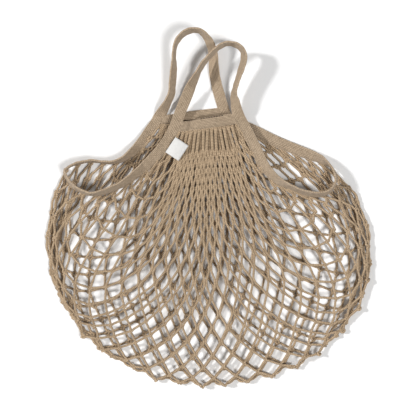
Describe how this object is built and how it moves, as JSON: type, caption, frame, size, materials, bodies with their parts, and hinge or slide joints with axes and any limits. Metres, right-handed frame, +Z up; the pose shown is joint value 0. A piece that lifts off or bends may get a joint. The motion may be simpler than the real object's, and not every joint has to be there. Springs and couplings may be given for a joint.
{
  "type": "string shopping bag",
  "caption": "Knitted cotton string shopping bag lying flat, with a net body gathered under short handles, taped side mouths and a small blank label.",
  "frame": {"origin": "on the surface that the bag lies on, under the middle of its bounding box", "axes": "+Z up from the surface, +Y from the bottom fold towards the handles, +X to the right of the label side"},
  "size_m": [0.4008, 0.4327, 0.0336],
  "materials": {
    "cotton_cord": "twisted cotton cord, matt",
    "cotton_tape": "woven cotton tape, matt",
    "cotton_tape_back": "woven cotton tape, matt",
    "label_cloth": "fine woven cloth, matt"
  },
  "bodies": {
    "root": {"net_body": "cotton_cord", "header_front": "cotton_tape", "header_back": "cotton_tape_back", "binding_left": "cotton_tape", "binding_right": "cotton_tape", "handle_front": "cotton_tape", "handle_back": "cotton_tape_back", "label": "label_cloth"}
  },
  "joints": []
}
